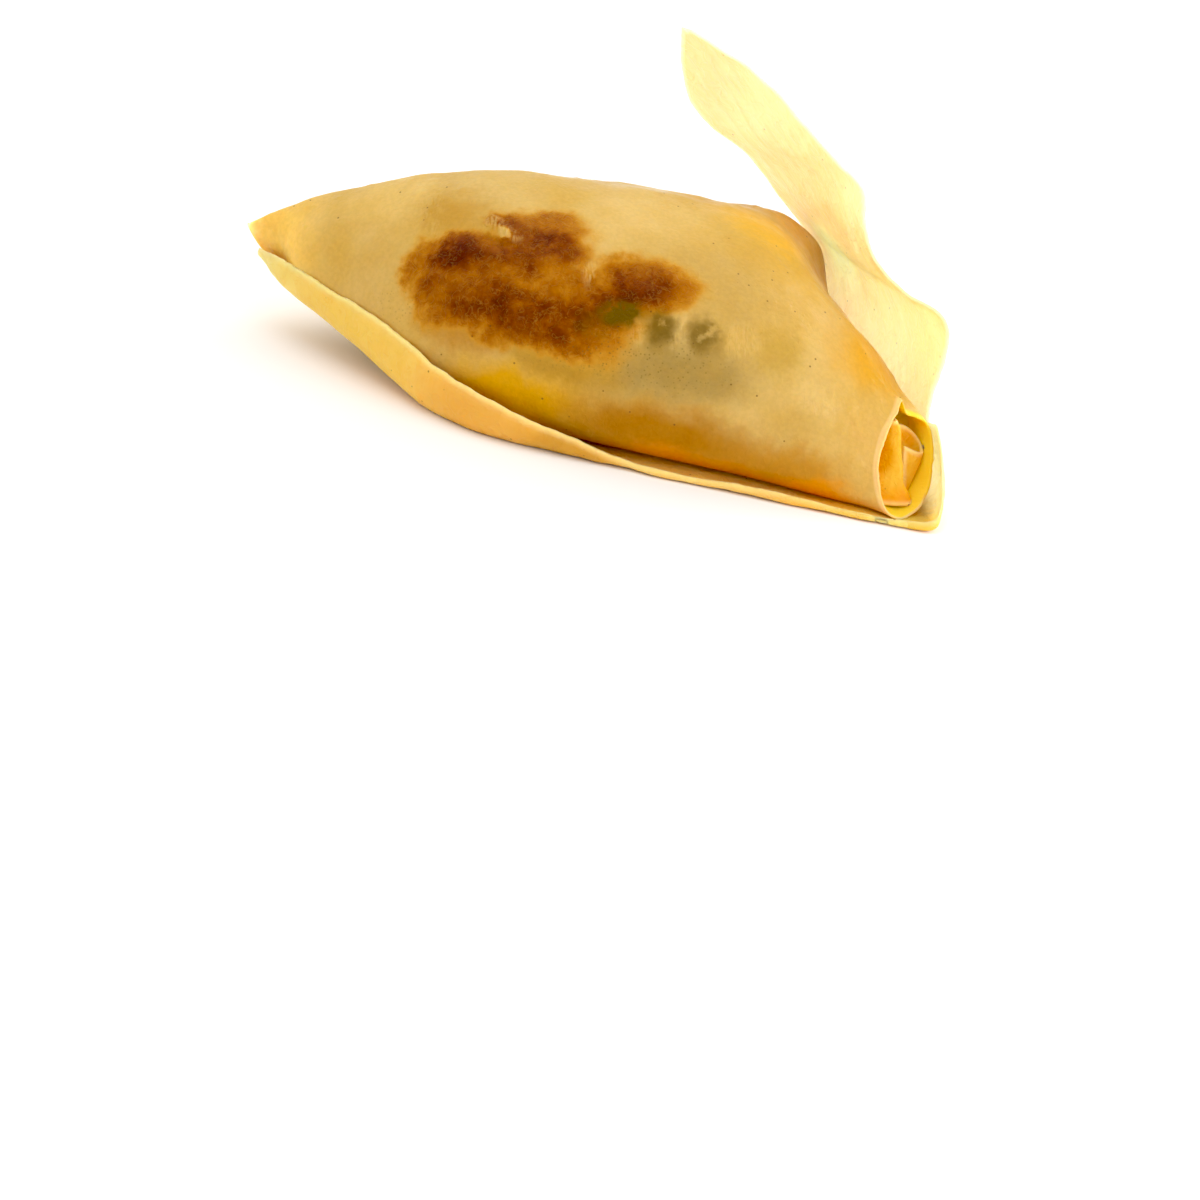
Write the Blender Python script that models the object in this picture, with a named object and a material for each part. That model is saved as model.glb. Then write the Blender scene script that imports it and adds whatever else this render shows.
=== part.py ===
"""A fried samosa: a pastry strip folded round its filling into a plump three-cornered parcel.

The parcel lies on its flat side. Its left corner is a pinched tip, its back corner is a blunt
ear, and its right corner is an open roll with the inner turns of the strip showing in it.
The strip's last turn came loose in the fryer: its lower edge stands out along the front as a
skirt, it cups the open roll as a collar, and its end stands up behind as a tall flap.

X runs from the tip to the roll, Y from the front to the ear, and Z up from the flat underside.
The shape is drawn in percent: X of LENGTH from the tip, Y of DEPTH from the front, Z of HEIGHT.
"""

import bmesh
import bpy
import numpy as np

MM = 0.001

# Driving sizes, in millimetres
LENGTH = 104.0  # from the tip to the collar
DEPTH = 62.0  # from the skirt to the ear
HEIGHT = 31.0  # of the parcel, which the flap stands half as high again above
SHEET = 0.9  # thickness of one loose layer of fried pastry
ROLL_DEPTH = 8.0  # of the open roll

# The origin is on the underside, about under the parcel's middle
ORIGIN = (58.0, 40.0, 0.0)

# The parcel's plan, in percent: its front fold and its back seam, from the tip to the roll
FRONT_FOLD = [
    (0.4, 48.1), (8.3, 36.5), (17.4, 24.5), (27.0, 13.5), (38.1, 5.5),
    (50.6, 2.6), (63.1, 2.4), (74.6, 3.2), (84.2, 5.2), (90.0, 8.4),
]
BACK_SEAM = [
    (0.0, 49.0), (9.2, 59.7), (22.7, 70.2), (37.1, 80.6), (52.5, 91.9),
    (66.3, 101.9), (75.8, 100.0), (81.7, 72.6), (91.0, 43.5), (99.0, 18.7),
]

# The cross-sections at ten even places from the tip to the roll: heights in percent, the
# ridge's place as a share of the way back, and how full each of the four quarters is, where
# 1 is a straight slope and 2 an ellipse
FRONT_LEVEL = [37.0, 37.5, 34.0, 29.5, 26.5, 24.5, 24.0, 24.0, 23.0, 23.0]
BACK_LEVEL = [35.0, 38.5, 40.0, 40.5, 41.5, 42.5, 43.0, 34.0, 27.0, 24.5]
TOP_LEVEL = [40.0, 60.0, 81.3, 94.2, 100.0, 99.4, 94.8, 78.1, 57.4, 46.5]
UNDER_LEVEL = [28.7, 18.7, 7.7, 1.0, -1.0, -1.0, -1.0, -1.0, -0.6, 0.0]
RIDGE_PLACE = [0.50, 0.50, 0.49, 0.46, 0.43, 0.41, 0.42, 0.44, 0.48, 0.50]
TOP_FRONT_FULLNESS = [1.6, 1.8, 1.9, 2.0, 2.1, 2.15, 2.15, 2.1, 2.0, 2.0]
TOP_BACK_FULLNESS = [1.5, 1.35, 1.3, 1.3, 1.35, 1.42, 1.4, 1.0, 1.05, 2.0]
UNDER_BACK_FULLNESS = [1.5, 1.5, 1.5, 1.6, 1.7, 1.9, 2.1, 1.9, 1.9, 2.0]
UNDER_FRONT_FULLNESS = [1.8, 1.9, 2.1, 2.6, 3.2, 3.8, 4.0, 3.8, 3.2, 2.0]
# The open roll leans back: its shift in Y for each unit of height above its middle
LEAN_BACK = [0.0, 0.0, 0.0, 0.0, 0.0, 0.0, 0.0, 0.05, 0.3, 0.66]

# The skirt and collar, in percent: three lines along the loose turn, from the tip round the
# roll. The inner line is tucked under the parcel, the fold is lowest, and the rim is free.
SKIRT_INNER = [
    (5.8, 50.5, 30.0), (9.7, 42.7, 24.5), (15.0, 35.5, 18.1), (20.8, 30.0, 11.0),
    (26.5, 25.2, 4.8), (32.3, 19.4, 1.6), (38.1, 15.2, 1.0), (44.2, 13.5, 1.0),
    (58.0, 12.9, 1.0), (73.0, 13.2, 1.0), (87.1, 13.9, 1.0), (92.3, 12.9, 1.3),
    (94.8, 13.9, 2.6), (96.2, 17.1, 5.2), (96.3, 22.3, 8.4), (95.4, 29.0, 11.6),
]
SKIRT_FOLD = [
    (3.0, 47.4, 29.0), (6.7, 40.0, 23.9), (12.3, 32.9, 19.4), (18.4, 24.8, 14.8),
    (24.1, 17.7, 8.4), (29.9, 10.3, 2.9), (36.2, 4.8, 1.3), (42.9, 2.7, 1.0),
    (57.0, 2.4, 1.0), (73.0, 2.7, 1.0), (88.1, 3.1, 1.0), (94.4, 3.1, 1.0),
    (98.3, 4.0, 1.6), (99.3, 10.3, 3.9), (99.2, 19.4, 7.7), (97.7, 29.7, 12.9),
]
SKIRT_RIM = [
    (2.6, 45.6, 33.4), (7.1, 38.4, 34.8), (12.7, 30.0, 34.2), (19.0, 21.9, 32.9),
    (25.4, 13.9, 28.7), (31.3, 6.8, 24.8), (37.1, 1.9, 22.3), (43.3, 0.2, 17.7),
    (57.0, 0.3, 7.0), (73.0, 0.6, 5.5), (88.1, 1.0, 4.5), (94.8, 1.6, 3.9),
    (99.0, 3.5, 7.7), (98.9, 11.9, 24.5), (97.5, 19.7, 36.8), (96.0, 28.4, 44.5),
]

# The flap, in percent: its two free edges, from just above its root up to its tip
FLAP_LEFT = [
    (72.3, 102.3, 59.4), (70.4, 101.0, 66.5), (66.3, 97.1, 82.3), (64.1, 94.8, 88.7),
    (61.9, 92.9, 93.9), (59.2, 90.3, 101.3), (56.2, 87.1, 110.0), (54.7, 85.5, 119.7),
    (53.4, 83.5, 131.9), (52.7, 81.9, 144.2), (52.5, 80.6, 155.2),
]
FLAP_RIGHT = [
    (95.6, 29.7, 41.3), (96.0, 33.1, 56.1), (94.8, 37.1, 73.5), (89.4, 43.9, 77.4),
    (84.2, 51.6, 84.5), (81.3, 56.5, 96.1), (79.7, 60.5, 111.9), (76.0, 64.5, 118.4),
    (70.5, 69.4, 129.0), (63.4, 74.2, 140.0), (53.9, 79.7, 154.8),
]
FLAP_ROOT = (0.667, 0.975)  # the stretch of the back seam that it grows out of
ROOT_INSET = 1.4  # how far inside the seam the root starts, in millimetres
FLAP_CAMBER = 0.8
FLAP_OUTWARDS = (0.75, 0.62, 0.2)  # the way its camber bulges, as X, Y and Z

# The turns inside the roll: (across, inwards) in millimetres from the roll's front point
LEAF_OUTLINE = [(0.9, 6.6), (2.2, 4.2), (3.8, 2.4), (5.2, 1.8), (6.2, 2.8), (6.2, 5.4), (5.6, 8.6)]
LEAF_REACH = (-7.0, 7.2)  # lowest and highest point up the roll
POCKET_OUTLINE = [(5.8, 8.8), (6.8, 4.4), (8.4, 3.0), (10.0, 3.4), (10.8, 5.2), (10.6, 8.8)]
POCKET_REACH = (-6.6, 5.4)
TURN_BOW = 0.4

# The skirt thins out over its first stretch at the tip, where it merges with the parcel
SKIRT_TAPER = 0.085  # share of its length
SKIRT_TIP_SHARE = 0.3  # of SHEET

# Mesh densities
RINGS = 44
RING_CROWDING = 1.15  # above 1, rings stand closer together near the tip, where it narrows fast
QUARTER_STEPS = 9
INSIDE_RINGS = 3
SKIRT_STEPS = 84
SKIRT_ROWS = 6
FLAP_ROWS = 26
FLAP_COLUMNS = 10
TURN_ROWS = 9
TURN_COLUMNS = 13

CREASE_ANGLE = 0.9  # radians; sharper edges than this stay sharp in the shading
CRUST = (0.86, 0.66, 0.33, 1.0)


def through(knots, t):
    """A smooth curve through evenly spaced knots, numbers or points, read at each t from 0 to 1."""
    knots = np.asarray(knots, float)
    spans = len(knots) - 1
    t = np.clip(t, 0.0, 1.0) * spans
    start = np.minimum(t.astype(int), spans - 1)
    part = t - start
    if knots.ndim > 1:
        part = part[:, None]
    a = knots[np.maximum(start - 1, 0)]
    b = knots[start]
    c = knots[start + 1]
    d = knots[np.minimum(start + 2, spans)]
    bend = 2 * a - 5 * b + 4 * c - d
    twist = 3 * (b - c) + d - a
    return b + 0.5 * part * (c - a + part * (bend + part * twist))


def in_mm(percent_points):
    """Points drawn in percent, as millimetres from the tip, the front and the underside."""
    points = np.asarray(percent_points, float)
    sizes = np.array([LENGTH, DEPTH, HEIGHT])[: points.shape[1]]
    return points * sizes / 100.0


def unit(vectors):
    return vectors / np.maximum(np.linalg.norm(vectors, axis=-1, keepdims=True), 1e-9)


def section(s):
    """The cross-section at s from 0, the tip, to 1, the roll: an oval ring, front point first."""
    s = np.array([s])
    front = through(in_mm(FRONT_FOLD), s)[0]
    back = through(in_mm(BACK_SEAM), s)[0]
    front_level, back_level, top_level, under_level = [
        through(levels, s)[0] * HEIGHT / 100.0
        for levels in (FRONT_LEVEL, BACK_LEVEL, TOP_LEVEL, UNDER_LEVEL)
    ]
    ridge = through(RIDGE_PLACE, s)[0]
    keel_width = 0.06
    # Each quarter: the edge it leaves, its level, the middle it reaches, its level, its fullness
    quarters = [
        (0.0, front_level, ridge, top_level, TOP_FRONT_FULLNESS),
        (1.0, back_level, ridge, top_level, TOP_BACK_FULLNESS),
        (1.0, back_level, ridge + keel_width, under_level, UNDER_BACK_FULLNESS),
        (0.0, front_level, ridge - keel_width, under_level, UNDER_FRONT_FULLNESS),
    ]
    angle = np.linspace(0.0, np.pi / 2, QUARTER_STEPS + 1)
    places = []
    heights = []
    for index, (edge, edge_level, middle, middle_level, fullness) in enumerate(quarters):
        power = 2.0 / through(fullness, s)[0]
        place = middle + (edge - middle) * np.cos(angle) ** power
        height = edge_level + (middle_level - edge_level) * np.sin(angle) ** power
        # The second and fourth quarters run from the middle out to their edge
        way = -1 if index % 2 else 1
        places.append(place[::way][:-1])
        heights.append(height[::way][:-1])
    places = np.concatenate(places)
    heights = np.concatenate(heights)
    plan = front + places[:, None] * (back - front)
    plan[:, 1] += through(LEAN_BACK, s)[0] * (heights - through(TOP_LEVEL, s)[0] * HEIGHT / 200.0)
    return np.column_stack([plan, heights])


def roll_frame():
    """The open roll's front point and its own axes: across it, up it, and level into the parcel."""
    front, top, back, under = section(1.0)[::QUARTER_STEPS]
    across = unit(back - front)
    return front, across, unit(top - under), unit(np.cross([0.0, 0.0, 1.0], across))


def parcel_rings():
    """The parcel's cross-sections from the tip to the roll, then inwards down the open roll."""
    rings = [section(s) for s in np.linspace(0.0, 1.0, RINGS) ** RING_CROWDING]
    rim = rings[-1]
    middle = rim.mean(axis=0)
    inwards = roll_frame()[3]
    wall = 1.0 - 2 * SHEET / np.ptp(rim[:, 2])
    narrowing = 0.16
    for share in np.linspace(0.0, 1.0, INSIDE_RINGS):
        scale = wall * (1.0 - narrowing * share)
        rings.append(middle + (rim - middle) * scale + inwards * ROLL_DEPTH * share)
    return rings


def skirt_grid():
    """The loose turn's lower part: rows from its inner line over the fold to its rim."""
    along = np.linspace(0.0, 1.0, SKIRT_STEPS)
    inner, fold, rim = [
        through(in_mm(line), along) for line in (SKIRT_INNER, SKIRT_FOLD, SKIRT_RIM)
    ]
    rows = []
    for t in np.linspace(0.0, 1.0, SKIRT_ROWS):
        rows.append(inner * (1 - t) * (1 - 2 * t) + fold * 4 * t * (1 - t) + rim * t * (2 * t - 1))
    return np.array(rows)


def flap_grid():
    """The standing flap: rows from its root on the back seam up to its tip."""
    across = np.linspace(0.0, 1.0, FLAP_COLUMNS)
    stretch = FLAP_ROOT[0] + (FLAP_ROOT[1] - FLAP_ROOT[0]) * across
    seam = through(in_mm(BACK_SEAM), stretch)
    inside = through(in_mm(FRONT_FOLD), stretch) - seam
    seam = seam + unit(inside) * ROOT_INSET
    root = np.column_stack([seam, through(BACK_LEVEL, stretch) * HEIGHT / 100.0])
    root_bow = root - (root[0] + (root[-1] - root[0]) * across[:, None])
    rise = np.linspace(0.0, 1.0, FLAP_ROWS)
    left = through(np.vstack([root[:1], in_mm(FLAP_LEFT)]), rise)
    right = through(np.vstack([root[-1:], in_mm(FLAP_RIGHT)]), rise)
    outwards = unit(np.array(FLAP_OUTWARDS))
    rows = []
    for k, height in enumerate(rise):
        row = left[k] + (right[k] - left[k]) * across[:, None]
        row += root_bow * (1.0 - height) ** 3
        camber = FLAP_CAMBER * np.sin(np.pi * height) * np.sin(np.pi * across)
        rows.append(row + outwards * camber[:, None])
    return np.array(rows)


def turn_grid(outline, reach):
    """One turn inside the roll: its outline swept up the roll, bowed sideways in the middle."""
    front, across, up, inwards = roll_frame()
    line = through(outline, np.linspace(0.0, 1.0, TURN_COLUMNS))
    rows = []
    for t in np.linspace(0.0, 1.0, TURN_ROWS):
        shift = TURN_BOW * np.sin(np.pi * t)
        height = reach[0] + (reach[1] - reach[0]) * t
        rows.append(front + across * (line[:, :1] + shift) + inwards * line[:, 1:] + up * height)
    return np.array(rows)


def mesh_object(name, points, faces):
    mesh = bpy.data.meshes.new(name)
    origin = in_mm([ORIGIN])
    mesh.from_pydata(((points - origin) * MM).tolist(), [], faces)
    work = bmesh.new()
    work.from_mesh(mesh)
    bmesh.ops.recalc_face_normals(work, faces=work.faces)
    work.to_mesh(mesh)
    work.free()
    made = bpy.data.objects.new(name, mesh)
    bpy.context.scene.collection.objects.link(made)
    return made


def closed_loft(name, rings):
    """A closed body through equal rings, its first and last ring capped from their middles."""
    count = len(rings[0])
    points = np.vstack(rings + [rings[0].mean(axis=0), rings[-1].mean(axis=0)])
    faces = []
    for ring in range(len(rings) - 1):
        for k in range(count):
            a = ring * count + k
            b = ring * count + (k + 1) % count
            faces.append((a, b, b + count, a + count))
    last = (len(rings) - 1) * count
    for k in range(count):
        after = (k + 1) % count
        faces.append((after, k, len(points) - 2))
        faces.append((last + k, last + after, len(points) - 1))
    return mesh_object(name, points, faces)


def thick_sheet(name, grid, thickness):
    """A closed sheet whose middle surface is a grid of points."""
    rows, columns = grid.shape[:2]
    normals = unit(np.cross(np.gradient(grid, axis=0), np.gradient(grid, axis=1)))
    half = normals * np.broadcast_to(thickness, (rows, columns))[:, :, None] / 2.0
    points = np.concatenate([(grid + half).reshape(-1, 3), (grid - half).reshape(-1, 3)])
    other = rows * columns
    faces = []
    for i in range(rows - 1):
        for j in range(columns - 1):
            a = i * columns + j
            quad = (a, a + 1, a + columns + 1, a + columns)
            faces.append(quad)
            faces.append(tuple(other + k for k in reversed(quad)))
    # The rim runs round all four edges of the grid
    rim = list(range(columns))
    rim += [i * columns + columns - 1 for i in range(1, rows)]
    rim += [(rows - 1) * columns + j for j in range(columns - 2, -1, -1)]
    rim += [i * columns for i in range(rows - 2, 0, -1)]
    for a, b in zip(rim, rim[1:] + rim[:1]):
        faces.append((b, a, a + other, b + other))
    return mesh_object(name, points, faces)


def combine(body, piece, operation):
    """Applies one exact Boolean to the body and removes the other piece."""
    bpy.context.view_layer.objects.active = body
    boolean = body.modifiers.new(piece.name, "BOOLEAN")
    boolean.operation = operation
    boolean.solver = "EXACT"
    boolean.object = piece
    bpy.ops.object.modifier_apply(modifier=boolean.name)
    bpy.data.objects.remove(piece, do_unlink=True)


def floor_cutter():
    """A block under the floor line, larger than the samosa, that cuts the underside flat."""
    side = 2 * LENGTH * MM
    bpy.ops.mesh.primitive_cube_add(size=side, location=(0.0, 0.0, -side / 2))
    cutter = bpy.context.active_object
    cutter.name = "floor cutter"
    cutter.display_type = "WIRE"
    cutter.hide_render = True
    return cutter


def crust_material():
    material = bpy.data.materials.new("fried pastry")
    material.use_nodes = True
    shader = material.node_tree.nodes["Principled BSDF"]
    shader.inputs["Base Color"].default_value = CRUST
    shader.inputs["Roughness"].default_value = 0.45
    shader.inputs["Metallic"].default_value = 0.0
    return material


def main():
    for old in list(bpy.data.objects):
        bpy.data.objects.remove(old, do_unlink=True)
    taper = np.linspace(0.0, 1.0, SKIRT_STEPS) / SKIRT_TAPER
    skirt_thickness = SHEET * np.clip(taper, SKIRT_TIP_SHARE, 1.0)
    samosa = closed_loft("samosa", parcel_rings())
    pieces = [
        thick_sheet("skirt", skirt_grid(), skirt_thickness),
        thick_sheet("flap", flap_grid(), SHEET),
        thick_sheet("leaf", turn_grid(LEAF_OUTLINE, LEAF_REACH), SHEET),
        thick_sheet("pocket", turn_grid(POCKET_OUTLINE, POCKET_REACH), SHEET),
    ]
    for piece in pieces:
        combine(samosa, piece, "UNION")
    combine(samosa, floor_cutter(), "DIFFERENCE")
    samosa.data.materials.clear()
    samosa.data.materials.append(crust_material())
    samosa.data.shade_smooth()
    samosa.data.set_sharp_from_angle(angle=CREASE_ANGLE)


main()
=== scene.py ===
import math

import bpy
import numpy as np
from mathutils import Matrix, Vector, noise


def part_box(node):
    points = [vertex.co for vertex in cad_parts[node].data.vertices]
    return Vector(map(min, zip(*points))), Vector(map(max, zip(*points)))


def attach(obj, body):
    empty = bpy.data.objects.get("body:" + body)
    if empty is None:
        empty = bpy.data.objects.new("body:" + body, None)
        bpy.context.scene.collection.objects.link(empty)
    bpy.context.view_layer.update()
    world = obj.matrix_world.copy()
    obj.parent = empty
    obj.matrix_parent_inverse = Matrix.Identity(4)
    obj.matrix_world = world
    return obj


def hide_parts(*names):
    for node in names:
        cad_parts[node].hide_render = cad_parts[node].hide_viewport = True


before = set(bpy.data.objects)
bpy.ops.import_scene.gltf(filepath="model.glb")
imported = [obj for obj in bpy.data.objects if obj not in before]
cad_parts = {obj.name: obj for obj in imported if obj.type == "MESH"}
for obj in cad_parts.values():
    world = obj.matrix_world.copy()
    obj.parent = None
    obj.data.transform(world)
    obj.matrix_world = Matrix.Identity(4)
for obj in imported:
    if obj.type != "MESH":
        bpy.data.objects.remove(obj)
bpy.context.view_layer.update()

# A fried samosa in thin, wrinkled, oily pastry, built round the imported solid.
# Outlines are drawn in percent of the parcel's own size, and everything else is in millimetres.

mm = 0.001
samosaLow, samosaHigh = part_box("samosa")
boxSize = np.array([(high - low) / mm for low, high in zip(samosaLow, samosaHigh)])
parcelSize = boxSize * np.array([1.0, 0.961, 0.643])  # the skirt's rim and the flap are the rest of the box
originPercent = np.array([58.0, 40.0, 0.0])  # where the frame's zero lies


def through(knots, t):
    # a smooth curve through evenly spaced knots, read at each t from 0 to 1
    knots = np.asarray(knots, float)
    spans = len(knots) - 1
    t = np.clip(np.asarray(t, float), 0.0, 1.0) * spans
    start = np.minimum(t.astype(int), spans - 1)
    part = t - start
    if knots.ndim > 1:
        part = part[:, None]
    a, b = knots[np.maximum(start - 1, 0)], knots[start]
    c, d = knots[start + 1], knots[np.minimum(start + 2, spans)]
    return b + 0.5 * part * (c - a + part * (2 * a - 5 * b + 4 * c - d + part * (3 * (b - c) + d - a)))


def unit(vectors):
    return vectors / np.maximum(np.linalg.norm(vectors, axis=-1, keepdims=True), 1e-9)


def inMm(percentPoints):
    # outlines in percent, of two or three columns, become places in the frame
    points = np.asarray(percentPoints, float)
    width = points.shape[1]
    return (points - originPercent[:width]) * parcelSize[:width] / 100.0


def smooth(low, high, values):
    # rises softly from 0 at low to 1 at high
    t = np.clip((values - low) / (high - low), 0.0, 1.0)
    return t * t * (3.0 - 2.0 * t)


def noiseAt(points, size, seed=0.0):
    # soft noise from -1 to 1; size is the width of one lump in millimetres, one number or three
    shape = points.shape[:-1]
    scaled = (points / np.asarray(size, float) + seed * 7.31).reshape(-1, 3)
    return np.array([noise.noise(p) for p in scaled.tolist()]).reshape(shape)


def waves(points, rows):
    # "waves" and "torn" rows: height, width of one lump, seed
    return sum(height * noiseAt(points, size, seed) for height, size, seed in rows)


def sheetNormals(grid, closed=False):
    # closed is for a grid whose rows run all the way round
    down = np.gradient(grid, axis=0)
    if closed:
        across = (np.roll(grid, -1, axis=1) - np.roll(grid, 1, axis=1)) / 2.0
    else:
        across = np.gradient(grid, axis=1)
    return unit(np.cross(down, across))


def meshPiece(name, points, faces, shares, material):
    # shares are numbers from 0 to 1 at each point, such as "edge" near the pastry's end
    mesh = bpy.data.meshes.new(name)
    mesh.from_pydata((points * mm).tolist(), [], faces)
    mesh.validate()
    mesh.shade_smooth()
    for key, values in shares.items():
        mesh.attributes.new(key, "FLOAT", "POINT").data.foreach_set("value", np.asarray(values, np.float32))
    mesh.materials.append(material)
    piece = bpy.data.objects.new(name, mesh)
    bpy.context.scene.collection.objects.link(piece)
    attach(piece, "root")
    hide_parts("samosa")
    return piece


def loftPiece(name, rings, ringShares, material):
    # closed body through equal rings, capped at both ends
    count = len(rings[0])
    points = np.vstack(list(rings) + [rings[0].mean(axis=0)[None], rings[-1].mean(axis=0)[None]])
    faces = []
    for ring in range(len(rings) - 1):
        a = ring * count
        for k in range(count):
            after = (k + 1) % count
            faces.append((a + k, a + count + k, a + count + after, a + after))
    last = (len(rings) - 1) * count
    for k in range(count):
        after = (k + 1) % count
        faces.append((k, after, len(points) - 2))
        faces.append((last + after, last + k, len(points) - 1))
    shares = {}
    for key, values in ringShares.items():
        shares[key] = [*values.ravel(), values[0].mean(), values[-1].mean()]
    return meshPiece(name, points, faces, shares, material)


def sheetPiece(name, grid, look, material, free=1.0, thin=1.0):
    # closed sheet of real thickness with a rounded rim; the grid is its middle surface
    # it waves by the share free, and thin is the share of its thickness left at each point
    grid = grid + sheetNormals(grid) * (waves(grid, look["waves"]) * free)[..., None]
    grid[..., 2] = np.maximum(grid[..., 2], look["lowest"])
    rows, columns = grid.shape[:2]
    half = sheetNormals(grid) * np.broadcast_to(look["thickness"] * thin, (rows, columns))[:, :, None] / 2.0
    front, back = (grid + half).reshape(-1, 3), (grid - half).reshape(-1, 3)
    other = rows * columns
    faces = []
    for i in range(rows - 1):
        for j in range(columns - 1):
            a = i * columns + j
            quad = (a, a + 1, a + columns + 1, a + columns)
            faces.append(quad[::-1])
            faces.append(tuple(other + k for k in quad))
    rim = [(0, j) for j in range(columns)]
    rim += [(i, columns - 1) for i in range(1, rows)]
    rim += [(rows - 1, j) for j in range(columns - 2, -1, -1)]
    rim += [(i, 0) for i in range(rows - 2, 0, -1)]
    rowOf, columnOf = np.array(rim).T
    # the rim's middle line stands out by half the thickness, which rounds it
    outwards = np.zeros_like(grid)
    outwards[0] += unit(grid[0] - grid[1])
    outwards[-1] += unit(grid[-1] - grid[-2])
    outwards[:, 0] += unit(grid[:, 0] - grid[:, 1])
    outwards[:, -1] += unit(grid[:, -1] - grid[:, -2])
    reach = np.linalg.norm(half, axis=2, keepdims=True)
    points = np.concatenate([front, back, (grid + unit(outwards) * reach)[rowOf, columnOf]])
    flat = rowOf * columns + columnOf
    for k in range(len(rim)):
        after = (k + 1) % len(rim)
        a, b = int(flat[k]), int(flat[after])
        m, n = 2 * other + k, 2 * other + after
        faces.append((a, b, n, m))
        faces.append((m, n, b + other, a + other))
    runs = []
    for axis in (0, 1):
        steps = np.linalg.norm(np.diff(grid, axis=axis), axis=2)
        run = np.concatenate([np.zeros_like(steps.take([0], axis)), steps.cumsum(axis=axis)], axis=axis)
        runs += [run, run.take([-1], axis) - run]
    edge = smooth(look["rimWidth"], 0.0, np.minimum.reduce(runs)).ravel()
    return meshPiece(name, points, faces, {"edge": [*edge, *edge, *np.ones(len(rim))]}, material)


def node(tree, kind, inputs=None, **settings):
    # a new node; each input is another node's socket or a plain value
    made = tree.nodes.new(kind)
    made.location = (180 * (len(tree.nodes) % 24), -260 * (len(tree.nodes) // 24))
    for key, value in settings.items():
        setattr(made, key, value)
    for key, value in (inputs or {}).items():
        if isinstance(value, bpy.types.NodeSocket):
            tree.links.new(value, made.inputs[key])
        else:
            made.inputs[key].default_value = value
    return made


def placed(tree, group, **inputs):
    return node(tree, "ShaderNodeGroup", inputs, node_tree=group).outputs


def maths(tree, operation, a, b=0.0, c=0.0, clamp=False):
    inputs = {0: a, 1: b, 2: c}
    return node(tree, "ShaderNodeMath", inputs, operation=operation, use_clamp=clamp).outputs[0]


def times(tree, a, b, clamp=False):
    return maths(tree, "MULTIPLY", a, b, clamp=clamp)


def vectorMaths(tree, operation, inputs, output="Vector"):
    return node(tree, "ShaderNodeVectorMath", inputs, operation=operation).outputs[output]


def ranged(tree, value, low, high, toLow=0.0, toHigh=1.0):
    inputs = {"Value": value, "From Min": low, "From Max": high, "To Min": toLow, "To Max": toHigh}
    return node(tree, "ShaderNodeMapRange", inputs, interpolation_type="SMOOTHSTEP").outputs["Result"]


def opaque(colour):
    return (*colour, 1.0) if isinstance(colour, tuple) else colour


def mixed(tree, factor, a, b, blend="MIX"):
    # each colour is a socket or three plain numbers
    inputs = {0: factor, 6: opaque(a), 7: opaque(b)}
    return node(tree, "ShaderNodeMix", inputs, data_type="RGBA", blend_type=blend).outputs[2]


def noiseNode(tree, place, size, detail=2.0, roughness=0.5, output="Fac"):
    inputs = {"Vector": place, "Scale": 1.0 / size, "Detail": detail, "Roughness": roughness}
    return node(tree, "ShaderNodeTexNoise", inputs).outputs[output]


def scattered(tree, place, spacing, share):
    # cells spread about: the distance from each one's middle, their scale, and which are kept
    scale = maths(tree, "DIVIDE", 1.0, spacing)
    cells = node(tree, "ShaderNodeTexVoronoi", {"Vector": place, "Scale": scale}).outputs
    picked = node(tree, "ShaderNodeSeparateColor", {"Color": cells["Color"]}).outputs[0]
    return cells["Distance"], scale, maths(tree, "LESS_THAN", picked, share)


def newGroup(name, inputs, outputs):
    group = bpy.data.node_groups.new(name, "ShaderNodeTree")
    for socketName, kind, *value in inputs:
        socket = group.interface.new_socket(socketName, in_out="INPUT", socket_type="NodeSocket" + kind)
        if value:
            socket.default_value = value[0]
    for socketName, kind in outputs:
        group.interface.new_socket(socketName, in_out="OUTPUT", socket_type="NodeSocket" + kind)
    return group, group.nodes.new("NodeGroupInput").outputs


def putOut(group, values):
    out = group.nodes.new("NodeGroupOutput").inputs
    for name, value in values.items():
        group.links.new(value, out[name])
    return group


def makeRaggedPlace():
    # object place in millimetres, pushed about so that soft spots get torn, natural outlines
    group, given = newGroup(
        "ragged place",
        [("Coarse", "Float", 1.6), ("Fine", "Float", 0.5)],
        [("Place", "Vector"), ("Ragged", "Vector")],
    )
    spot = node(group, "ShaderNodeTexCoord").outputs["Object"]
    place = vectorMaths(group, "SCALE", {0: spot, 3: 1.0 / mm})
    ragged = place
    for size, amount in ((6.0, "Coarse"), (1.3, "Fine")):
        push = noiseNode(group, place, size, 2.0, 0.55, "Color")
        centred = vectorMaths(group, "SUBTRACT", {0: push, 1: (0.5, 0.5, 0.5)})
        moved = vectorMaths(group, "SCALE", {0: centred, 3: times(group, given[amount], 4.0)})
        ragged = vectorMaths(group, "ADD", {0: ragged, 1: moved})
    return putOut(group, {"Place": place, "Ragged": ragged})


def makeSoftSpot():
    # adds one soft oval to a running sum; its size is half its width each way
    group, given = newGroup(
        "soft spot",
        [("Place", "Vector"), ("Middle", "Vector"), ("Size", "Vector", (5, 5, 5)),
         ("Strength", "Float", 1.0), ("Sum", "Float", 0.0)],
        [("Mask", "Float"), ("Sum", "Float")],
    )
    offset = vectorMaths(group, "SUBTRACT", {0: given["Place"], 1: given["Middle"]})
    scaled = vectorMaths(group, "DIVIDE", {0: offset, 1: given["Size"]})
    away = vectorMaths(group, "LENGTH", {0: scaled}, "Value")
    mask = times(group, ranged(group, away, 1.35, 0.35), given["Strength"])
    return putOut(group, {"Mask": mask, "Sum": maths(group, "ADD", mask, given["Sum"])})


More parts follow.
